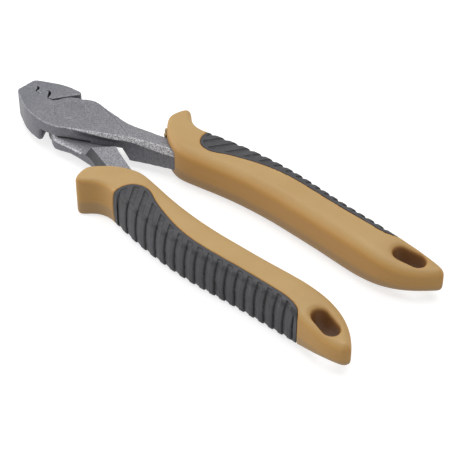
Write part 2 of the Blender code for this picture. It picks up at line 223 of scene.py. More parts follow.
def twin(piece, name):
    copy = piece.copy()
    copy.data = piece.data.copy()
    copy.name = name
    bpy.context.collection.objects.link(copy)
    return copy


def linear(hexColour):
    parts = [int(hexColour[k:k + 2], 16) / 255 for k in (1, 3, 5)]
    return tuple(c / 12.92 if c <= 0.04045 else ((c + 0.055) / 1.055) ** 2.4 for c in parts) + (1.0,)


def newMaterial(name):
    material = bpy.data.materials.new(name)
    material.use_nodes = True
    tree = material.node_tree
    return material, tree, tree.nodes["Principled BSDF"]


def addNode(tree, kind, links=None, **settings):
    # settings are the node's own ones or, by socket name, its inputs' values
    node = tree.nodes.new(kind)
    for key, value in settings.items():
        if hasattr(node, key):
            setattr(node, key, value)
        else:
            node.inputs[key.replace("_", " ")].default_value = value
    for key, source in (links or {}).items():
        tree.links.new(source, node.inputs[key])
    return node


def noiseFac(tree, spot, shadeUnderChamfer, detail=2.0, **settings):
    return addNode(tree, "ShaderNodeTexNoise", {"Vector": spot}, Scale=shadeUnderChamfer, Detail=detail,
                   **settings).outputs["Fac"]


def layer(tree, name):
    return addNode(tree, "ShaderNodeAttribute", attribute_name=name).outputs["Fac"]


def stretched(tree, spot, height):
    return addNode(tree, "ShaderNodeMapping", {"Vector": spot}, Scale=(1.0, 1.0, height)).outputs[0]


def ramp(tree, source, stops):
    node = addNode(tree, "ShaderNodeValToRGB", {"Fac": source})
    while len(node.color_ramp.elements) < len(stops):
        node.color_ramp.elements.new(0.5)
    for element, (place, value) in zip(node.color_ramp.elements, stops):
        element.position = place
        element.color = linear(value) if isinstance(value, str) else (value, value, value, 1.0)
    return node.outputs["Color"]


def mixColour(tree, share, first, second, blend="MIX"):
    node = addNode(tree, "ShaderNodeMix", data_type="RGBA", blend_type=blend)
    for slotName, value in (("Factor", share), ("A", first), ("B", second)):
        sockets = [s for s in node.inputs if s.name == slotName]
        socket = sockets[0] if slotName == "Factor" else sockets[2]
        if hasattr(value, "is_output"):
            tree.links.new(value, socket)
        elif slotName == "Factor":
            socket.default_value = value
        else:
            socket.default_value = linear(value)
    return [s for s in node.outputs if s.name == "Result"][2]


# Crimping head: drop-forged carbon steel, blasted grey. The blasting gives a dull, finely pitted grain;
# the flanks take a streaked tone with some painted shade, and rubbed edges are bare and bright.
steel = {"face": "#7a7a7f", "pit": "#66666b", "grainLight": "#8e8e93", "flank": "#7f8086",
         "flankDark": "#66676d", "bareAndLight": "#d4d5d8", "shade": "#2a2b2e", "roughness": 0.5, "metallic": 0.45}


def forgedSteel(name):
    material, tree, shader = newMaterial(name)
    spot = addNode(tree, "ShaderNodeTexCoord").outputs["Object"]
    # blasting grain of about 0.2 mm, drawn 0.45 mm wide so that it shows
    grain = noiseFac(tree, spot, 2200.0, Roughness=0.7)
    cloud = noiseFac(tree, spot, 260.0, 3.0, Roughness=0.6)
    streak = noiseFac(tree, stretched(tree, spot, 0.55), 1500.0, 4.0, Roughness=0.7)
    # the flank layer gives steep sides a darker streaked tone, partly painted shade
    flank = layer(tree, "flank")
    bareAndLight = layer(tree, "bareAndLight")
    edge = layer(tree, "edge")
    face = ramp(tree, grain, [(0.32, steel["pit"]), (0.5, steel["face"]), (0.7, steel["grainLight"])])
    side = ramp(tree, streak, [(0.35, steel["flankDark"]), (0.62, steel["flank"])])
    body = mixColour(tree, flank, face, side)
    soft = ramp(tree, cloud, [(0.35, 0.92), (0.65, 1.0)])
    body = mixColour(tree, 1.0, body, soft, "MULTIPLY")
    # painted shade: concave corners are darkened towards the shade colour
    corner = ramp(tree, edge, [(0.3, 1.0), (0.47, 0.0)])
    body = mixColour(tree, corner, body, steel["shade"])
    rub = ramp(tree, edge, [(0.57, 0.0), (0.8, 0.7)])
    rough = ramp(tree, grain, [(0.42, 0.12), (0.56, 1.0)])
    # bare metal where edges are rubbed, and painted light on the neck's face
    worn = addNode(tree, "ShaderNodeMath", {0: bareAndLight, 1: rub}, operation="MAXIMUM")
    worn = addNode(tree, "ShaderNodeMath", {0: worn.outputs[0], 1: rough}, operation="MULTIPLY")
    body = mixColour(tree, worn.outputs[0], body, steel["bareAndLight"])
    tree.links.new(body, shader.inputs["Base Color"])
    dull = addNode(tree, "ShaderNodeMapRange", {"Value": grain}, To_Min=steel["roughness"] + 0.14,
                   To_Max=steel["roughness"] - 0.08)
    tree.links.new(dull.outputs[0], shader.inputs["Roughness"])
    shader.inputs["Metallic"].default_value = steel["metallic"]
    pits = addNode(tree, "ShaderNodeBump", {"Height": grain}, Strength=0.35, Distance=0.0001)
    dents = addNode(tree, "ShaderNodeBump", {"Height": streak, "Normal": pits.outputs[0]}, Strength=0.12,
                    Distance=0.0003)
    tree.links.new(dents.outputs[0], shader.inputs["Normal"])
    return material


# Handle sleeves: injection-moulded glass-filled nylon, tan. The spark-eroded mould gives an even
# satin skin with a fine texture and a faint parting line; its corners are darkened with painted shade.
nylon = {"skin": "#bd9b63", "cloud": "#b8945c", "flank": "#cc9b54", "warm": "#b5823b", "low": "#b29164",
         "deep": "#94683a", "roughness": 0.52, "seamInner": 0.0001, "seamOuter": 0.0003}


def mouldedNylon(name):
    material, tree, shader = newMaterial(name)
    spot = addNode(tree, "ShaderNodeTexCoord").outputs["Object"]
    cloud = noiseFac(tree, spot, 55.0, 3.0, Roughness=0.55)
    # texture of about 0.1 mm, drawn 0.5 mm wide so that it shows
    grain = noiseFac(tree, spot, 1900.0, Roughness=0.6)
    edge = layer(tree, "edge")
    tone = ramp(tree, cloud, [(0.35, nylon["cloud"]), (0.65, nylon["skin"])])
    # painted light: the flank layer makes the sides warmer and brighter
    flank = layer(tree, "flank")
    tone = mixColour(tree, flank, tone, nylon["flank"])
    # painted shade: the low layer greys the sides below the parting line
    low = layer(tree, "low")
    tone = mixColour(tree, low, tone, nylon["low"])
    speck = ramp(tree, grain, [(0.3, 0.95), (0.7, 1.0)])
    tone = mixColour(tree, 1.0, tone, speck, "MULTIPLY")
    # painted shade: concave corners are darkened
    corner = ramp(tree, edge, [(0.34, 1.0), (0.48, 0.0)])
    tone = mixColour(tree, corner, tone, nylon["deep"])
    rub = ramp(tree, edge, [(0.58, 0.0), (0.8, 0.6)])
    tone = mixColour(tree, rub, tone, nylon["warm"])
    # painted shade inside the lanyard hole
    deep = layer(tree, "deep")
    tone = mixColour(tree, deep, tone, nylon["deep"])
    tree.links.new(tone, shader.inputs["Base Color"])
    shader.inputs["Roughness"].default_value = nylon["roughness"]
    shader.inputs["Subsurface Weight"].default_value = 0.08
    shader.inputs["Subsurface Radius"].default_value = (0.0012, 0.0007, 0.0003)
    shader.inputs["Subsurface Scale"].default_value = 1.0
    # parting line at half height, fading out within 0.3 mm of it
    height = addNode(tree, "ShaderNodeSeparateXYZ", {"Vector": spot}).outputs["Z"]
    away = addNode(tree, "ShaderNodeMath", {0: height}, operation="SUBTRACT")
    away.inputs[1].default_value = pivot.z
    away = addNode(tree, "ShaderNodeMath", {0: away.outputs[0]}, operation="ABSOLUTE")
    line = addNode(tree, "ShaderNodeMapRange", {"Value": away.outputs[0]}, From_Min=nylon["seamInner"],
                   From_Max=nylon["seamOuter"], To_Min=1.0, To_Max=0.0)
    seam = addNode(tree, "ShaderNodeBump", {"Height": line.outputs[0]}, Strength=0.5, Distance=0.0001)
    skinBump = addNode(tree, "ShaderNodeBump", {"Height": grain, "Normal": seam.outputs[0]}, Strength=0.12,
                       Distance=0.0001)
    tree.links.new(skinBump.outputs[0], shader.inputs["Normal"])
    return material


# Grips: soft thermoplastic rubber moulded over the nylon, charcoal. It is dull with a low soft gloss,
# and the rib tops are rubbed a little lighter.
rubber = {"skin": "#333337", "low": "#19191c", "corner": "#0c0c0e", "rubbed": "#5a5a61", "roughness": 0.5}


def softRubber(name):
    material, tree, shader = newMaterial(name)
    spot = addNode(tree, "ShaderNodeTexCoord").outputs["Object"]
    cloud = noiseFac(tree, spot, 220.0, 4.0, Roughness=0.65)
    scuff = noiseFac(tree, stretched(tree, spot, 0.25), 700.0, 4.0, Roughness=0.7)
    grain = noiseFac(tree, spot, 2100.0, Roughness=0.6)
    edge = layer(tree, "edge")
    # painted shade: the low colour is painted on the turn from face to side
    outsideTurnShade = layer(tree, "outsideTurnShade")
    tone = mixColour(tree, outsideTurnShade, rubber["low"], rubber["skin"])
    soft = ramp(tree, cloud, [(0.35, 0.88), (0.65, 1.1)])
    tone = mixColour(tree, 1.0, tone, soft, "MULTIPLY")
    # painted shade: concave corners are darkened
    corner = ramp(tree, edge, [(0.37, 1.0), (0.47, 0.0)])
    tone = mixColour(tree, corner, tone, rubber["corner"])
    rub = ramp(tree, edge, [(0.55, 0.0), (0.8, 0.8)])
    patch = ramp(tree, scuff, [(0.42, 0.0), (0.62, 1.0)])
    worn = addNode(tree, "ShaderNodeMath", {0: rub, 1: patch}, operation="MULTIPLY")
    tone = mixColour(tree, worn.outputs[0], tone, rubber["rubbed"])
    dust = ramp(tree, scuff, [(0.56, 0.0), (0.7, 0.45)])
    tone = mixColour(tree, dust, tone, rubber["rubbed"])
    tree.links.new(tone, shader.inputs["Base Color"])
    dull = addNode(tree, "ShaderNodeMapRange", {"Value": cloud}, To_Min=rubber["roughness"] + 0.12,
                   To_Max=rubber["roughness"] - 0.05)
    tree.links.new(dull.outputs[0], shader.inputs["Roughness"])
    bump = addNode(tree, "ShaderNodeBump", {"Height": grain}, Strength=0.2, Distance=0.0001)
    tree.links.new(bump.outputs[0], shader.inputs["Normal"])
    return material


steelMaterial = forgedSteel("blasted drop-forged steel")
nylonMaterial = mouldedNylon("moulded tan nylon")
rubberMaterial = softRubber("moulded charcoal rubber")
print("materials done")


lever = {
    # thickness is given as half, from the middle to a face
    "tip": 23.5, "half": 5.0, "neckHalf": 3.8, "disc": 8.1,
    "shoulderAngle": 211.1, "cornerAngle": 240.0, "shoulder": 5.8, "lap": 0.1, "clearance": 0.3,
    "rivetShank": 3.2, "rivetHead": 5.2, "headDepth": 1.4, "rivetBevel": 0.12, "boreGap": 0.1,
    # the closing edges, from the tip
    "toothLine": [(0, -0.3), (1.9, -0.2), (2.7, 0.2), (2.9, 0.9), (3.3, 1.9), (3.8, 2.2), (4.3, 1.7),
                  (4.9, 0.8), (5.5, 0.0), (7.1, 0.0), (7.6, 0.3), (7.9, 1.6), (8.3, 2.9), (9.0, 3.1),
                  (9.7, 2.4), (10.6, 1.2), (11.8, 0.0), (12.6, 0.05), (14.5, 0.35)],
    "cupLine": [(0, -0.3), (1.9, -0.2), (2.7, 0.2), (2.9, 0.9), (3.2, 2.0), (3.9, 2.5), (4.9, 2.3),
                (5.6, 1.4), (5.7, 0.3), (7.1, 0.0), (7.6, 0.3), (7.9, 1.6), (8.2, 3.0), (9.1, 3.4),
                (10.3, 3.1), (11.2, 2.1), (11.6, 1.0), (11.9, 0.2), (12.6, 0.4), (14.5, 0.95)],
    # the outline's near side from the tip to the tang, and its far side back to the disc
    "jaw": [(-23.5, -3.4), (-23.1, -4.2), (-21.8, -5.2), (-18.5, -6.9), (-14.3, -8.9), (-9.7, -10.2),
            (-6.3, -10.7), (-3.4, -10.8), (-1.0, -10.7), (1.5, -10.2), (4.0, -9.3), (6.6, -7.7),
            (14.0, -3.9), (21.4, -0.2), (24.6, 1.6), (28.2, 3.5), (34.0, 5.8), (38.4, 7.35), (42.0, 8.65),
            (45.2, 9.85), (52.8, 12.7)],
    "far": [(51.0, 18.5), (42.8, 15.9), (39.0, 14.5), (35.6, 13.3), (31.8, 12.2), (28.0, 11.2),
            (24.0, 10.0), (20.0, 9.3), (14.0, 9.5), (8.4, 9.9), (5.0, 10.3), (2.6, 10.2), (0.7, 9.5),
            (-1.2, 8.4)],
    # the lap pocket's side, downwards: height, how far it opens the slot, and how far its rear runs back
    "pocket": [(0.1, 0.6, 0.0), (-0.2, 0.15, 0.05), (-0.6, -0.2, 0.2), (-1.1, -0.38, 0.6),
               (-2.0, -0.42, 1.25), (-3.8, -0.48, 2.55), (-6.0, -0.5, 3.9)],
    # the pocket's outline behind the neck and in front of the disc
    "pocketRear": [(30.0, -14.0), (26.2, -3.0), (25.0, 2.0), (17.0, 10.3), (15.8, 16.0)],
    "pocketFront": [(-12.0, 16.0), (-10.0, 2.4)],
    # the rough chamfer's place, its width on the face and its depth on the side
    "chamfer": [(-2.0, -10.75, 0.1, 0.15), (1.0, -10.3, 0.15, 0.2), (4.0, -9.3, 0.2, 0.3),
                (9.5, -6.25, 0.3, 0.5), (14.0, -3.9, 0.4, 0.9), (18.0, -1.9, 0.55, 1.3),
                (21.4, -0.2, 0.75, 1.6), (24.6, 1.6, 0.85, 1.6), (28.2, 3.4, 1.0, 1.7),
                (34.0, 5.8, 1.2, 2.1), (38.4, 7.35, 1.3, 2.3), (45.2, 9.85, 1.3, 2.3),
                (50.0, 11.6, 1.3, 2.3)],
    "hammered": [(-8.0, 1.0), (-6.5, 4.0), (-4.5, 6.4), (-1.2, 8.4), (2.6, 10.2), (5.2, 10.2), (8.4, 9.9),
                 (12.0, 9.65), (15.6, 9.5)],
    # the broken lower edge of the flank, and how far the break reaches outwards and upwards
    "broken": [(-4.5, -10.8), (-1.0, -10.7), (1.5, -10.2), (4.0, -9.3), (6.6, -7.7), (10.5, -5.75),
               (14.6, -3.6)],
    "breakSection": [(0.8, -0.6), (0.8, 0.1), (0.2, 0.55), (-0.1, 0.8), (-1.0, 0.9), (-1.0, -0.6)],
    # the second lever's blade is worn off below: place, width on the face and height on the side
    "underside": [(3.0, 10.2, 0.05, 0.1), (6.0, 10.1, 0.7, 0.9), (9.0, 9.8, 1.4, 1.7),
                  (14.0, 9.5, 1.2, 1.5), (20.0, 9.3, 0.7, 0.9), (26.0, 10.6, 0.2, 0.3)],
    "ridge": [(7.85, 9.29), (15.35, 7.81), (21.3, 5.9), (25.6, 4.0)],
    "taperFrom": (9.0, 9.6), "taperTo": (26.8, 2.6), "taper": 4.5,
    "voxel": 0.2,
}


def shoulderPoint(along, past=0.0):
    angle, corner = math.radians(lever["shoulderAngle"]), math.radians(lever["cornerAngle"])
    normal = Vector((math.cos(angle), math.sin(angle)))
    side = Vector((-normal.y, normal.x))
    turn = Vector((math.cos(corner), math.sin(corner)))
    return normal * (lever["disc"] + lever["clearance"]) + side * along + turn * past


def taperLine():
    # where the neck starts to thin, the ways along and across that line, and the taper's length
    start, end = Vector(lever["taperFrom"]), Vector(lever["taperTo"])
    along = (end - start).normalized()
    run = (lever["half"] - lever["neckHalf"]) / math.tan(math.radians(lever["taper"]))
    return start, along, Vector((-along.y, along.x)), run


def faceHeight(point):
    start, _, across, run = taperLine()
    past = min(max((point - start).dot(across), 0.0), run)
    return lever["half"] - past * math.tan(math.radians(lever["taper"]))


def circleRings(radii, sides=72):
    return [[(r * math.cos(math.tau * k / sides), r * math.sin(math.tau * k / sides), z)
             for k in range(sides)] for r, z in radii]


def rivetRings(growth):
    head, shank = lever["rivetHead"] + growth, lever["rivetShank"] + growth
    top = lever["half"] + (2.0 if growth else 0.0)
    shelf = lever["half"] - lever["headDepth"]
    return circleRings([(head, top), (head, lever["half"] - 0.4), (shank, shelf), (shank, -shelf),
                        (head, 0.4 - lever["half"]), (head, -top)])


def forgeLever(name, edge):
    half = lever["half"]
    disc = [(lever["disc"] * math.cos(math.radians(a)), lever["disc"] * math.sin(math.radians(a)))
            for a in range(100, 169, 4)]
    outline = list(reversed(edge)) + smoothLine(lever["jaw"], 4) + smoothLine(lever["far"], 4)[:-1] + disc
    piece = plate(name, outline, -half, half)
    # lap pocket under the blade, with hollow corners
    side = shoulderPoint(1.0) - shoulderPoint(0.0)
    away = Vector((side.y, -side.x)) * -1.0
    rings = []
    for z, hollow, run in lever["pocket"]:
        inner = shoulderPoint(-4.2) + away * hollow
        corner = shoulderPoint(lever["shoulder"]) + away * hollow
        turn = shoulderPoint(lever["shoulder"], 3.0) + away * hollow * 0.6
        rings.append([(*inner, z), (*corner, z), (*turn, z)]
                     + [(x + run, y, z) for x, y in lever["pocketRear"]]
                     + [(x, y, z) for x, y in lever["pocketFront"]])
    cutWith(piece, skin("pocket", rings))
    # tapers that thin the neck on both faces
    start, along, across, run = taperLine()
    for sign in (1, -1):
        section = [(0.0, half), (run, lever["neckHalf"]), (60.0, lever["neckHalf"]), (60.0, 10.0),
                   (0.0, 10.0)]
        rings = [[(*(start + along * reach + across * out), sign * z) for out, z in section]
                 for reach in (-30, 60)]
        cutWith(piece, skin("taper", rings))
    # rough chamfer along the near edge
    rings = []
    for index, (x, y, inset, drop) in enumerate(lever["chamfer"]):
        normal = -sideways(lever["chamfer"], index)
        base = Vector((x, y))
        top = faceHeight(base - normal * inset)
        slope = drop / inset
        rings.append([(*(base - normal * (inset + 0.6)), top + 0.6 * slope), (*base, top - drop),
                      (*(base + normal * 0.5), top - drop - 0.1), (*(base + normal * 4), top - drop - 0.1),
                      (*(base + normal * 4), top + 4), (*(base - normal * (inset + 0.6)), top + 4)])
    cutWith(piece, skin("chamfer", rings))
    # the flank's lower edge is broken, so that a dark gap shows above the other lever
    rings = []
    for index, (x, y) in enumerate(lever["broken"]):
        normal = -sideways(lever["broken"], index)
        base = Vector((x, y))
        rings.append([(*(base - normal * out), lever["lap"] + z) for out, z in lever["breakSection"]])
    cutWith(piece, skin("break", rings))
    cutWith(piece, skin("bore", rivetRings(lever["boreGap"])))
    return piece


def hammerEdge(piece):
    # the blade's far edge on the lap side, beaten to a rough flat, and its worn edge on the other
    rings = []
    for index, (x, y) in enumerate(lever["hammered"]):
        side = sideways(lever["hammered"], index) * 1.1
        base = Vector((x, y))
        rings.append([(*(base + side), 0.1), (*base, 1.4), (*(base - side), 0.1), (*base, -1.2)])
    cutWith(piece, skin("bevel", rings))
    rings = []
    for index, (x, y, inset, drop) in enumerate(lever["underside"]):
        normal = sideways(lever["underside"], index)
        base, top = Vector((x, y)), faceHeight(Vector((x, y)))
        slope = drop / inset
        rings.append([(*(base - normal * (inset + 0.6)), top + 0.6 * slope), (*base, top - drop),
                      (*(base + normal * 2), top - drop - 0.1), (*(base + normal * 2), top + 3),
                      (*(base - normal * (inset + 0.6)), top + 3)])
    cutWith(piece, skin("underside", rings))


def finishLever(piece, hammered):
    soften(piece, lever["voxel"], 3)
    # the jaw's lower rear end is rounded off more than the rest
    place, _ = surface(piece)
    end = piece.vertex_groups.new(name="jaw_end")
    inside = (place[:, 2] < -0.6) & (place[:, 0] > -9.5) & (place[:, 0] < 0.0) & (place[:, 1] < -6.0)
    end.add([int(k) for k in np.nonzero(inside)[0]], 1.0, "REPLACE")
    useModifier(piece, "SMOOTH", factor=0.8, iterations=24, vertex_group="jaw_end")
    # the rivet's bore stays crisp at the face
    place, _ = surface(piece)
    reach = np.hypot(place[:, 0], place[:, 1])
    lip = (reach < lever["rivetHead"] + 1.2) & (np.abs(place[:, 2]) > lever["half"] - 0.45)
    place[lip, 2] = np.sign(place[lip, 2]) * lever["half"]
    moveTo(piece, place)
    place, normal = surface(piece)
    x, z, up = place[:, 0], place[:, 2], normal[:, 2]
    near = 1.0 - ease(1.6, 2.4, distanceTo(place, lever["chamfer"]))
    bareAndLight = near * ease(-2.0, 8.0, x) * ease(0.15, 0.3, up) * (1 - ease(0.86, 0.96, up)) * (z > 0.4)
    rough = bareAndLight
    if hammered:
        # beaten bright along the outer edge, and roughened behind it
        far = distanceTo(place, lever["hammered"])
        lapSide = (z < 2.0) & (z > -0.5) & (place[:, 1] > 0.0)
        bareAndLight = np.maximum(bareAndLight, 0.75 * (1.0 - ease(0.35, 0.75, far)) * ease(0.1, 0.3, -up) * lapSide)
        bareAndLight = np.maximum(bareAndLight, 0.16 * (1.0 - ease(1.6, 4.5, far)) * ease(0.3, 0.5, -up) * lapSide)
        rough = np.maximum(rough, (1.0 - ease(1.4, 2.4, far)) * lapSide)
    dent(piece, (0.02 + 0.1 * rough) * (x > 0.8 - lever["tip"]))
    edgeLines(piece)
    edge = painted(piece, "edge")
    face = np.abs(z) > lever["neckHalf"] - 0.3
    # partly painted shade: steep sides take the darker streaked flank tone, less of it towards the tip
    flank = (1.0 - ease(0.25, 0.75, np.abs(up))) * (0.1 + 0.9 * ease(-20.0, -4.0, x))
    # faint ring round the flush rivet as a dark joint line; the fine ridge where the neck starts to thin as
    # painted shade with a painted highlight beside it
    onNeck = x > 7.0
    ring = np.abs(reach - lever["rivetHead"] - 0.2)
    for away, width in ((ring, 0.2), (distanceTo(place, lever["ridge"]), 0.22)):
        edge = np.where(face & (away < width), 0.43 - 0.06 * onNeck, edge)
        beside = (away >= width) & (away < width + 0.3)
        edge = np.where(face & beside & (edge > 0.45), 0.62 + 0.05 * onNeck, edge)
    # painted shade on the flank, under the chamfer
    depth = np.clip(np.array([faceHeight(Vector(p[:2])) for p in place]) - 1.2 - z, 0.0, 9.0)
    shadeUnderChamfer = ease(6.0, 13.0, x) * (1.0 - ease(22.0, 27.0, x)) * (1.0 - ease(0.6, 2.6, depth)) * (z > 0.0)
    shadeUnderChamfer = shadeUnderChamfer * (1.0 - ease(0.1, 0.4, np.abs(up))) * (distanceTo(place, lever["chamfer"]) < 1.5)
    edge = np.where(edge < 0.6, edge - 0.16 * shadeUnderChamfer, edge)
    # painted light: the face is painted a little lighter towards the neck, and duller on the jaws
    face = ease(0.9, 0.97, np.abs(up))
    bareAndLight = np.maximum(bareAndLight, 0.12 * ease(8.0, 28.0, x) * face)
    flank = np.maximum(flank, (1.0 - ease(-17.0, -8.0, x)) * face)
    if hammered:
        # painted shade in the step between blade and neck, under the other lever
        step = (z < 0.3 + 2.2 * ease(17.5, 26.0, x)) & (z > -lever["half"] + 0.3) & (x > 15.2) & (x < 34.0)
        step = step & (np.abs(up) < 0.8) & (place[:, 1] > 5.0)
        flank = np.where(step, 1.0, flank)
        edge = np.where(step, 0.315, edge)
    paint(piece, "edge", edge)
    paint(piece, "bareAndLight", bareAndLight)
    paint(piece, "flank", flank)


def jawEdge(line, offset):
    return smoothLine([(x - lever["tip"], y + offset) for x, y in line], 2)


leverA = forgeLever("forged_lever_a", jawEdge(lever["toothLine"], -gap / 2))
finishLever(leverA, False)
leverB = forgeLever("forged_lever_b", [(x, -y) for x, y in jawEdge(lever["cupLine"], gap / 2)])
hammerEdge(leverB)
finishLever(leverB, True)
setInPlace(leverA, steelMaterial, "first_lever", ["jaw_lever_a"])
setInPlace(leverB, steelMaterial, "second_lever", ["jaw_lever_b"], True)

rivetPiece = skin("flush_rivet", rivetRings(0.0))
useModifier(rivetPiece, "BEVEL", width=lever["rivetBevel"], segments=2, limit_method="ANGLE",
            angle_limit=math.radians(50))
for layer, value in (("edge", 0.5), ("bareAndLight", 0.0), ("flank", 0.0)):
    paint(rivetPiece, layer, np.full(len(rivetPiece.data.vertices), value))
setInPlace(rivetPiece, steelMaterial, "first_lever", ["pivot_rivet"])
bpy.ops.object.shade_smooth_by_angle(angle=math.radians(30))


# Cured epoxy, pressed out round the first lever's tang at the sleeve's mouth: yellowish and lumpy
glue = {"colour": "#c9b57c", "dark": "#8a7a50", "roughness": 0.3,
        "lumps": [((33.9, 15.3, 4.9), (0.8, 0.7, 1.0)), ((33.6, 15.2, 2.7), (0.7, 0.7, 1.3)),
                  ((34.7, 14.2, 4.6), (0.6, 0.9, 0.6))]}


def driedGlue():
    material, tree, shader = newMaterial("cured clear epoxy")
    spot = addNode(tree, "ShaderNodeTexCoord").outputs["Object"]
    cloud = noiseFac(tree, spot, 1400.0, 3.0)
    tone = ramp(tree, cloud, [(0.4, glue["dark"]), (0.6, glue["colour"])])
    tree.links.new(tone, shader.inputs["Base Color"])
    shader.inputs["Roughness"].default_value = glue["roughness"]
    lumps = []
    for place, size in glue["lumps"]:
        bpy.ops.mesh.primitive_ico_sphere_add(subdivisions=4, radius=1.0)
        lump = bpy.context.object
        for vertex in lump.data.vertices:
            p = vertex.co.copy()
            swell = 1.0 + 0.5 * noise.noise(p * 2.5 + Vector(place)) + 0.3 * noise.noise(p * 6.0)
            vertex.co = Vector(place) + Vector([a * b * swell for a, b in zip(p, size)])
        lumps.append(lump)
    piece = lumps[0]
    piece.name = "dried_glue"
    for lump in lumps[1:]:
        cutWith(piece, lump, "UNION")
    setInPlace(piece, material, "first_lever", [])


driedGlue()
print("levers done")


handle = {
    "half": 7.9, "endHalf": 4.6, "thinFrom": 119.0, "end": 149.8,
    # inner and outer edge in pairs, each with its edge rounding
    "edges": [
        ((30.70, 22.9, 1.5), (30.70, 22.9, 1.5)), ((30.55, 21.3, 1.5), (31.10, 24.6, 1.5)),
        ((30.70, 19.7, 1.6), (31.75, 26.0, 1.4)), ((31.50, 18.2, 1.8), (32.40, 26.9, 1.4)),
        ((32.80, 16.5, 2.0), (33.20, 27.2, 1.4)), ((34.40, 14.8, 2.2), (34.30, 26.9, 1.5)),
        ((36.30, 13.0, 2.4), (35.70, 25.9, 1.7)), ((38.60, 11.3, 2.7), (37.30, 24.5, 1.9)),
        ((41.00, 10.0, 3.0), (39.30, 23.3, 2.1)), ((43.50, 8.9, 3.4), (41.70, 22.6, 2.2)),
        ((46.00, 8.3, 3.8), (44.50, 22.5, 2.2)), ((48.50, 8.3, 4.1), (47.60, 23.1, 2.2)),
        ((51.70, 8.7, 4.3), (51.50, 23.9, 2.2)), ((56.30, 9.5, 4.4), (56.50, 24.8, 2.2)),
        ((62.20, 10.6, 4.4), (62.50, 25.7, 2.2)), ((69.20, 11.6, 4.4), (69.50, 26.4, 2.2)),
        ((77.20, 12.3, 4.4), (77.50, 26.9, 2.2)), ((86.30, 12.6, 4.4), (86.50, 26.9, 2.2)),
        ((96.00, 12.4, 4.4), (96.00, 26.3, 2.2)), ((106.00, 12.1, 4.4), (106.00, 25.6, 2.2)),
        ((116.00, 11.6, 4.3), (116.00, 25.2, 2.2)), ((125.00, 11.3, 4.2), (125.00, 25.1, 2.3)),
        ((131.00, 11.5, 4.0), (130.50, 25.5, 2.5)), ((135.20, 12.2, 3.9), (134.70, 25.9, 2.8)),
        ((139.00, 13.5, 3.7), (138.60, 26.2, 3.1)), ((142.10, 15.2, 3.5), (142.20, 26.2, 3.3)),
        ((145.10, 17.5, 3.2), (145.60, 25.8, 3.1)), ((148.00, 20.5, 2.7), (148.40, 24.8, 2.7)),
        ((149.80, 22.8, 2.5), (149.80, 22.8, 2.5)),
    ],
    "gripPairs": (9, 25),       # the grip lies between these pairs
    "voxel": 0.3,
    "socket": [(26.5, 6.35), (36.5, 10.1), (44.0, 12.9), (52.0, 15.6), (56.0, 16.8)],
    "socketWide": 3.55, "socketHigh": 4.0,
    "hole": (137.6, 20.6), "holeHalf": 2.7, "holeRadius": 2.8, "holeTilt": 14.0,
    # how far the hole widens at each depth under the face
    "flare": [(-2.0, 3.2), (-0.1, 1.9), (0.15, 1.3), (0.45, 0.75), (0.9, 0.32), (1.5, 0.08),
              (2.2, 0.0)],
}
grip = {
    "depth": 1.8,
    "edge": [(47.3, 24.5), (47.5, 21.0), (47.9, 18.6), (49.2, 16.4), (51.4, 15.0), (54.2, 14.6),
             (57.0, 15.3), (61.7, 17.6), (68.2, 19.9), (74.7, 21.7), (81.7, 22.8), (88.7, 23.0),
             (95.7, 22.8), (103.7, 22.4), (113.3, 22.2), (120.7, 22.1), (125.0, 22.4), (128.3, 23.4),
             (130.2, 25.2)],
    "outside": 34.0,        # clear of the handle's outer side
    "bulge": 1.3,
    # ribs: slant, first one's place, spacing and how it closes up; on the side they lean and bow forward
    "slant": 32.5, "first": 25.28, "pitch": 4.12, "closing": 0.0222, "lean": 0.45, "bow": 0.75,
    "channelShare": 0.5, "wall": 0.03, "sideDepth": 0.8, "faceDepth": 0.42, "rim": 1.1, "voxel": 0.17,
}


def halfThickness(x):
    t = min(max((x - handle["thinFrom"]) / (handle["end"] - handle["thinFrom"]), 0.0), 1.0)
    return handle["half"] + (handle["endHalf"] - handle["half"]) * t * t * (3 - 2 * t)


def handleBody(name, inset, first=0, last=len(handle["edges"]) - 1, steps=4, rounding=7):
    # the sleeve's form, or from one pair of edges to another, set in all round by inset
    inner = smoothLine([pair[0] for pair in handle["edges"]], steps)
    outer = smoothLine([pair[1] for pair in handle["edges"]], steps)
    rings = []
    for index in range(first * steps, last * steps + 1):
        ring = []
        for points, sign in ((inner, -1), (outer, 1)):
            x, y, radius = points[index]
            normal = sideways(points, index) * sign
            if index in (0, len(inner) - 1):
                near = 1 if index == 0 else index - 1
                across = (Vector(outer[near][:2]) - Vector(inner[near][:2])).normalized()
                normal = Vector((across.y, -across.x)) * (-1 if index == 0 else 1)
            radius = max(radius - inset, 0.4)
            tall = halfThickness(x) - inset
            base = Vector((x, y)) - normal * inset
            column = []
            for k in range(2 * rounding + 2):
                quarter = k if k <= rounding else k - 1
                angle = math.pi / 2 * (1 - quarter / rounding)
                level = (tall - radius) * (1 if k <= rounding else -1) + radius * math.sin(angle)
                column.append((*(base - normal * radius * (1 - math.cos(angle))), level))
            ring.extend(column[::-sign])
        rings.append(ring)
    return skin(name, rings)


def gripWindow(name, growth):
    # what the grip covers, open to the outer side; its front edge bulges forward halfway up
    edge, outside = smoothLine(grip["edge"], 4), grip["outside"]
    edge = [tuple(Vector(p) - sideways(edge, k) * growth) for k, p in enumerate(edge)]
    rings = []
    for z in (-11.0, -7.6, -6.5, -4.5, -2.0, 0.0, 2.0, 4.5, 6.5, 7.6, 11.0):
        bulge = grip["bulge"] * max(1.0 - (z / 7.6) ** 2, 0.0)
        line = [(x - bulge * min(max((y - 17.0) / 5.0, 0.0), 1.0) * (x < 52.0), y, z) for x, y in edge]
        rings.append([(line[0][0], outside, z)] + line + [(line[-1][0], outside, z)])
    return skin(name, rings)


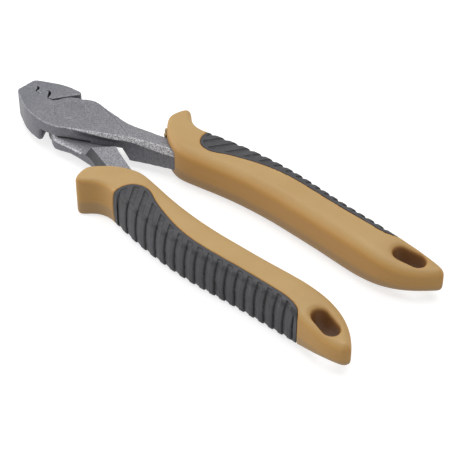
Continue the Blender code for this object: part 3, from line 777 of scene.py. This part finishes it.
def holeRing(growth, down, face):
    # an oval around the hole, at a depth below the sleeve's upper (1) or lower (-1) sloping face
    tilt = math.radians(handle["holeTilt"])
    ring = []
    for sign in (1, -1):
        centre = Vector((math.cos(tilt), math.sin(tilt))) * handle["holeHalf"] * sign
        centre += Vector(handle["hole"])
        for k in range(17):
            angle = tilt - math.pi / 2 * sign + math.pi * k / 16
            x = centre.x + (handle["holeRadius"] + growth) * math.cos(angle)
            y = centre.y + (handle["holeRadius"] + growth) * math.sin(angle)
            ring.append((x, y, face * (halfThickness(x) - down)))
    return ring


def mouldSleeve(name):
    piece = handleBody(name, 0.0)
    recess = gripWindow("recess", gap)
    cutWith(recess, handleBody("core", grip["depth"] + gap, *handle["gripPairs"], 2, 5))
    cutWith(piece, recess)
    rings = []
    for index, (x, y) in enumerate(handle["socket"]):
        side = sideways(handle["socket"], index)
        corners = ((0.9, 1), (1, 0.9), (1, -0.9), (0.9, -1), (-0.9, -1), (-1, -0.9), (-1, 0.9), (-0.9, 1))
        rings.append([(*(Vector((x, y)) + side * a * handle["socketWide"]), b * handle["socketHigh"])
                      for a, b in corners])
    cutWith(piece, skin("socket", rings))
    rings = [holeRing(growth, down, 1) for down, growth in handle["flare"]]
    rings += [holeRing(growth, down, -1) for down, growth in reversed(handle["flare"])]
    cutWith(piece, skin("hole", rings))
    return piece


def roundOff(piece):
    # softly rounded all over, most at both ends, but with a crisp lip round the grip and the mouth
    place, _ = surface(piece)
    edge, outside = grip["edge"], grip["outside"]
    away = distanceTo(place, [(edge[0][0], outside)] + edge + [(edge[-1][0], outside)])
    x = place[:, 0]
    weight = ease(0.7, 2.2, away)
    atEnds = weight * np.maximum(ease(35.0, 32.5, x), ease(143.0, 147.0, x))
    for name, share, rounds in (("open", weight, 8), ("ends", atEnds, 22)):
        group = piece.vertex_groups.new(name=name)
        for level in range(1, 6):
            chosen = np.nonzero((share > (level - 0.5) / 5) & (share <= (level + 0.5) / 5))[0]
            group.add([int(k) for k in chosen], level / 5, "REPLACE")
        useModifier(piece, "SMOOTH", factor=0.5, iterations=rounds, vertex_group=name)


def sleeveShades(piece):
    # painted light on the sides, warmer and brighter, and painted shade inside the lanyard hole
    place, normal = surface(piece)
    paint(piece, "flank", 0.85 * (1.0 - ease(0.35, 0.95, np.abs(normal[:, 2]))))
    tilt = math.radians(handle["holeTilt"])
    reach = np.array([math.cos(tilt), math.sin(tilt)]) * handle["holeHalf"]
    centre = np.array(handle["hole"])
    away = distanceTo(place, [tuple(centre - reach), tuple(centre + reach)])
    paint(piece, "deep", 1.0 - ease(handle["holeRadius"], handle["holeRadius"] + 0.7, away))


def lowHalf(piece, sign):
    # painted shade: the side is greyer below the parting line than above
    place, normal = surface(piece)
    below = 1.0 - ease(-3.2, -0.6, place[:, 2] * sign)
    paint(piece, "low", 0.9 * below * (1.0 - ease(0.5, 0.95, np.abs(normal[:, 2]))))


def mouldGrip(name):
    piece = handleBody(name, 0.0, *handle["gripPairs"])
    cutWith(piece, gripWindow("window", 0.0), "INTERSECT")
    cutWith(piece, handleBody("core", grip["depth"], *handle["gripPairs"], 2, 5))
    soften(piece, grip["voxel"], 2)
    return piece


def ribField(place):
    # place within the rib spacing, from 0 behind one rib to 1 at the next one's back
    slant = math.radians(grip["slant"])
    level = place[:, 2] / handle["half"]
    across = place[:, 0] * math.cos(slant) - place[:, 1] * math.sin(slant) - grip["first"]
    across += grip["lean"] * (1.0 + level) + grip["bow"] * (1.0 - level ** 2)
    root = np.sqrt(np.maximum(grip["pitch"] ** 2 - 4 * grip["closing"] * across, 0.0))
    index = np.floor((grip["pitch"] - root) / (2 * grip["closing"]))
    start = grip["pitch"] * index - grip["closing"] * index ** 2
    return (across - start) / (grip["pitch"] - 2 * grip["closing"] * index)


def pressRibs(piece):
    # channels that are deepest behind a rib and rise towards the next one
    place, normal = surface(piece)
    share = ribField(place)
    outer = ease(0.2, 0.6, normal[:, 1] + normal[:, 2] * np.sign(place[:, 2]))
    away = distanceTo(place, smoothLine(grip["edge"], 3))
    field = ease(grip["rim"] - 0.12, grip["rim"] + 0.12, away) * outer
    wall, rise = grip["wall"], grip["channelShare"]
    flat = np.abs(normal[:, 2]) ** 2
    lift = 0.75 - 0.4 * flat
    shape = ease(0.0, wall, share) * (1.0 - lift * share / rise)
    shape = shape * (1.0 - ease(rise - wall, rise + wall, share))
    depth = grip["sideDepth"] + (grip["faceDepth"] - grip["sideDepth"]) * flat
    back = 0.3 * ease(0.82, 1.0, share) ** 2 * (1.0 - flat)      # each rib's back edge is rounded
    # pressed in along the ribs' own planes, so that their walls stand straight
    slant = math.radians(grip["slant"])
    aside = np.array([math.cos(slant), -math.sin(slant), 0.0])
    way = normal - (normal @ aside)[:, None] * aside
    way /= np.maximum(np.linalg.norm(way, axis=1), 0.3)[:, None]
    place -= way * ((shape * depth + back) * field)[:, None]
    moveTo(piece, place)
    useModifier(piece, "SMOOTH", factor=0.5, iterations=1)
    useModifier(piece, "DECIMATE", ratio=0.6)
    edgeLines(piece)
    # painted shade: fine dark lines in the corners, strong behind each rib and at its end, faint before the
    # next one
    place, normal = surface(piece)
    share = ribField(place)
    flat = np.abs(normal[:, 2])
    away = distanceTo(place, smoothLine(grip["edge"], 3))
    inside = (away > grip["rim"] - 0.1) & (np.abs(place[:, 2]) < handle["half"] + 1.0)
    edge = painted(piece, "edge")
    edge = 0.5 + (edge - 0.5) * 0.45
    edge = np.where(inside & ((share < 0.07) | (share > 0.985)), 0.40 - 0.03 * ease(0.3, 0.7, flat), edge)
    edge = np.where(inside & (np.abs(share - rise) < 0.03), np.where(flat > 0.6, 0.41, 0.43), edge)
    edge = np.where((np.abs(away - grip["rim"] - 0.02) < 0.13) & (share < rise) & (flat > 0.6), 0.39, edge)
    paint(piece, "edge", edge)
    # painted shade: the turn from face to side is painted darker
    paint(piece, "outsideTurnShade", 1.0 - ease(0.05, 0.6, flat) * (1.0 - ease(0.6, 0.97, flat)))


sleeveA = mouldSleeve("nylon_sleeve_a")
soften(sleeveA, handle["voxel"], 3)
roundOff(sleeveA)
edgeLines(sleeveA)
sleeveShades(sleeveA)
sleeveB = twin(sleeveA, "nylon_sleeve_b")
lowHalf(sleeveA, 1)
lowHalf(sleeveB, -1)
setInPlace(sleeveA, nylonMaterial, "first_lever", ["handle_a"])
setInPlace(sleeveB, nylonMaterial, "second_lever", ["handle_b"], True)
print("sleeves done")

gripA = mouldGrip("rubber_grip_a")
pressRibs(gripA)
gripB = twin(gripA, "rubber_grip_b")
setInPlace(gripA, rubberMaterial, "first_lever", ["grip_inlay_a"])
setInPlace(gripB, rubberMaterial, "second_lever", ["grip_inlay_b"], True)
print("grips done")


# Levels of the floor, of the white background where it is seen and of its light elsewhere; each lamp's
# place, size and power. All of them aim at the middle of the floor.
light = {"floorSize": 6.0, "floor": 0.5, "floorRoughness": 0.9, "floorGlow": 0.7, "world": 0.42,
         "background": 1.0,
         "lamps": {"softbox": ((-0.05, 0.1, 0.75), (0.8, 0.7), 3.8),
                   "side_fill": ((-0.75, -0.45, 0.25), (0.5, 0.4), 2.6)}}

# The view of the photograph: its angles in degrees, the focal length and width in its pixels, and
# the camera's place from the rivet in millimetres
view = {"azimuth": 43.2, "elevation": 40.2, "focalPixels": 1562, "widthPixels": 450, "sensor": 36,
        "away": 561.68, "aside": 55.61, "down": 37.10}


def seenBy(tree, *rays):
    # 1 for a ray of one of the kinds named, and 0 for any other
    path = addNode(tree, "ShaderNodeLightPath")
    seen = path.outputs[f"Is {rays[0]} Ray"]
    for ray in rays[1:]:
        seen = addNode(tree, "ShaderNodeMath", {0: seen, 1: path.outputs[f"Is {ray} Ray"]},
                       operation="MAXIMUM").outputs[0]
    return seen


def paleFloor():
    bpy.ops.mesh.primitive_plane_add(size=light["floorSize"], location=(0, 0, 0))
    floor = bpy.context.object
    floor.name = "studio_floor"
    material, tree, shader = newMaterial("matt white studio floor")
    shader.inputs["Base Color"].default_value = (light["floor"],) * 3 + (1.0,)
    shader.inputs["Roughness"].default_value = light["floorRoughness"]
    # the camera and mirrors see it a little brighter, up to white, with the soft shadow kept
    seen = seenBy(tree, "Camera", "Glossy")
    lift = addNode(tree, "ShaderNodeEmission", {"Strength": seen}, Color=(light["floorGlow"],) * 3 + (1.0,))
    both = addNode(tree, "ShaderNodeAddShader", {0: shader.outputs[0], 1: lift.outputs[0]})
    tree.links.new(both.outputs[0], tree.nodes["Material Output"].inputs["Surface"])
    floor.data.materials.append(material)


def areaLamp(name, place, size, power):
    data = bpy.data.lights.new(name, "AREA")
    data.shape = "RECTANGLE"
    data.size, data.size_y = size
    data.energy = power
    lamp = bpy.data.objects.new(name, data)
    bpy.context.collection.objects.link(lamp)
    lamp.location = place
    lamp.rotation_euler = (-Vector(place)).to_track_quat("-Z", "Y").to_euler()


def studio():
    world = bpy.data.worlds.new("studio")
    bpy.context.scene.world = world
    world.use_nodes = True
    tree = world.node_tree
    back = tree.nodes["Background"]
    back.inputs["Color"].default_value = (1, 1, 1, 1)
    seen = seenBy(tree, "Camera", "Glossy", "Transmission")
    level = addNode(tree, "ShaderNodeMapRange", {"Value": seen}, To_Min=light["world"],
                    To_Max=light["background"])
    tree.links.new(level.outputs[0], back.inputs["Strength"])
    for name, (place, size, power) in light["lamps"].items():
        areaLamp(name, place, size, power)


def camera():
    azimuth, elevation = math.radians(view["azimuth"]), math.radians(view["elevation"])
    right = Vector((math.cos(azimuth), math.sin(azimuth), 0))
    back = Vector((math.sin(azimuth) * math.cos(elevation), -math.cos(azimuth) * math.cos(elevation),
                   math.sin(elevation)))
    up = back.cross(right)
    data = bpy.data.cameras.new("photo_view")
    data.sensor_width = view["sensor"]
    data.lens = view["sensor"] * view["focalPixels"] / view["widthPixels"]
    data.clip_start, data.clip_end = 0.01, 20
    item = bpy.data.objects.new("photo_view", data)
    bpy.context.collection.objects.link(item)
    place = (back * view["away"] + right * view["aside"] - up * view["down"]) * 0.001 + pivot
    item.matrix_world = Matrix.Translation(place) @ Matrix((right, up, back)).transposed().to_4x4()
    bpy.context.scene.camera = item


paleFloor()
studio()
camera()
scene = bpy.context.scene
scene.view_settings.view_transform = "Standard"
print("studio done")
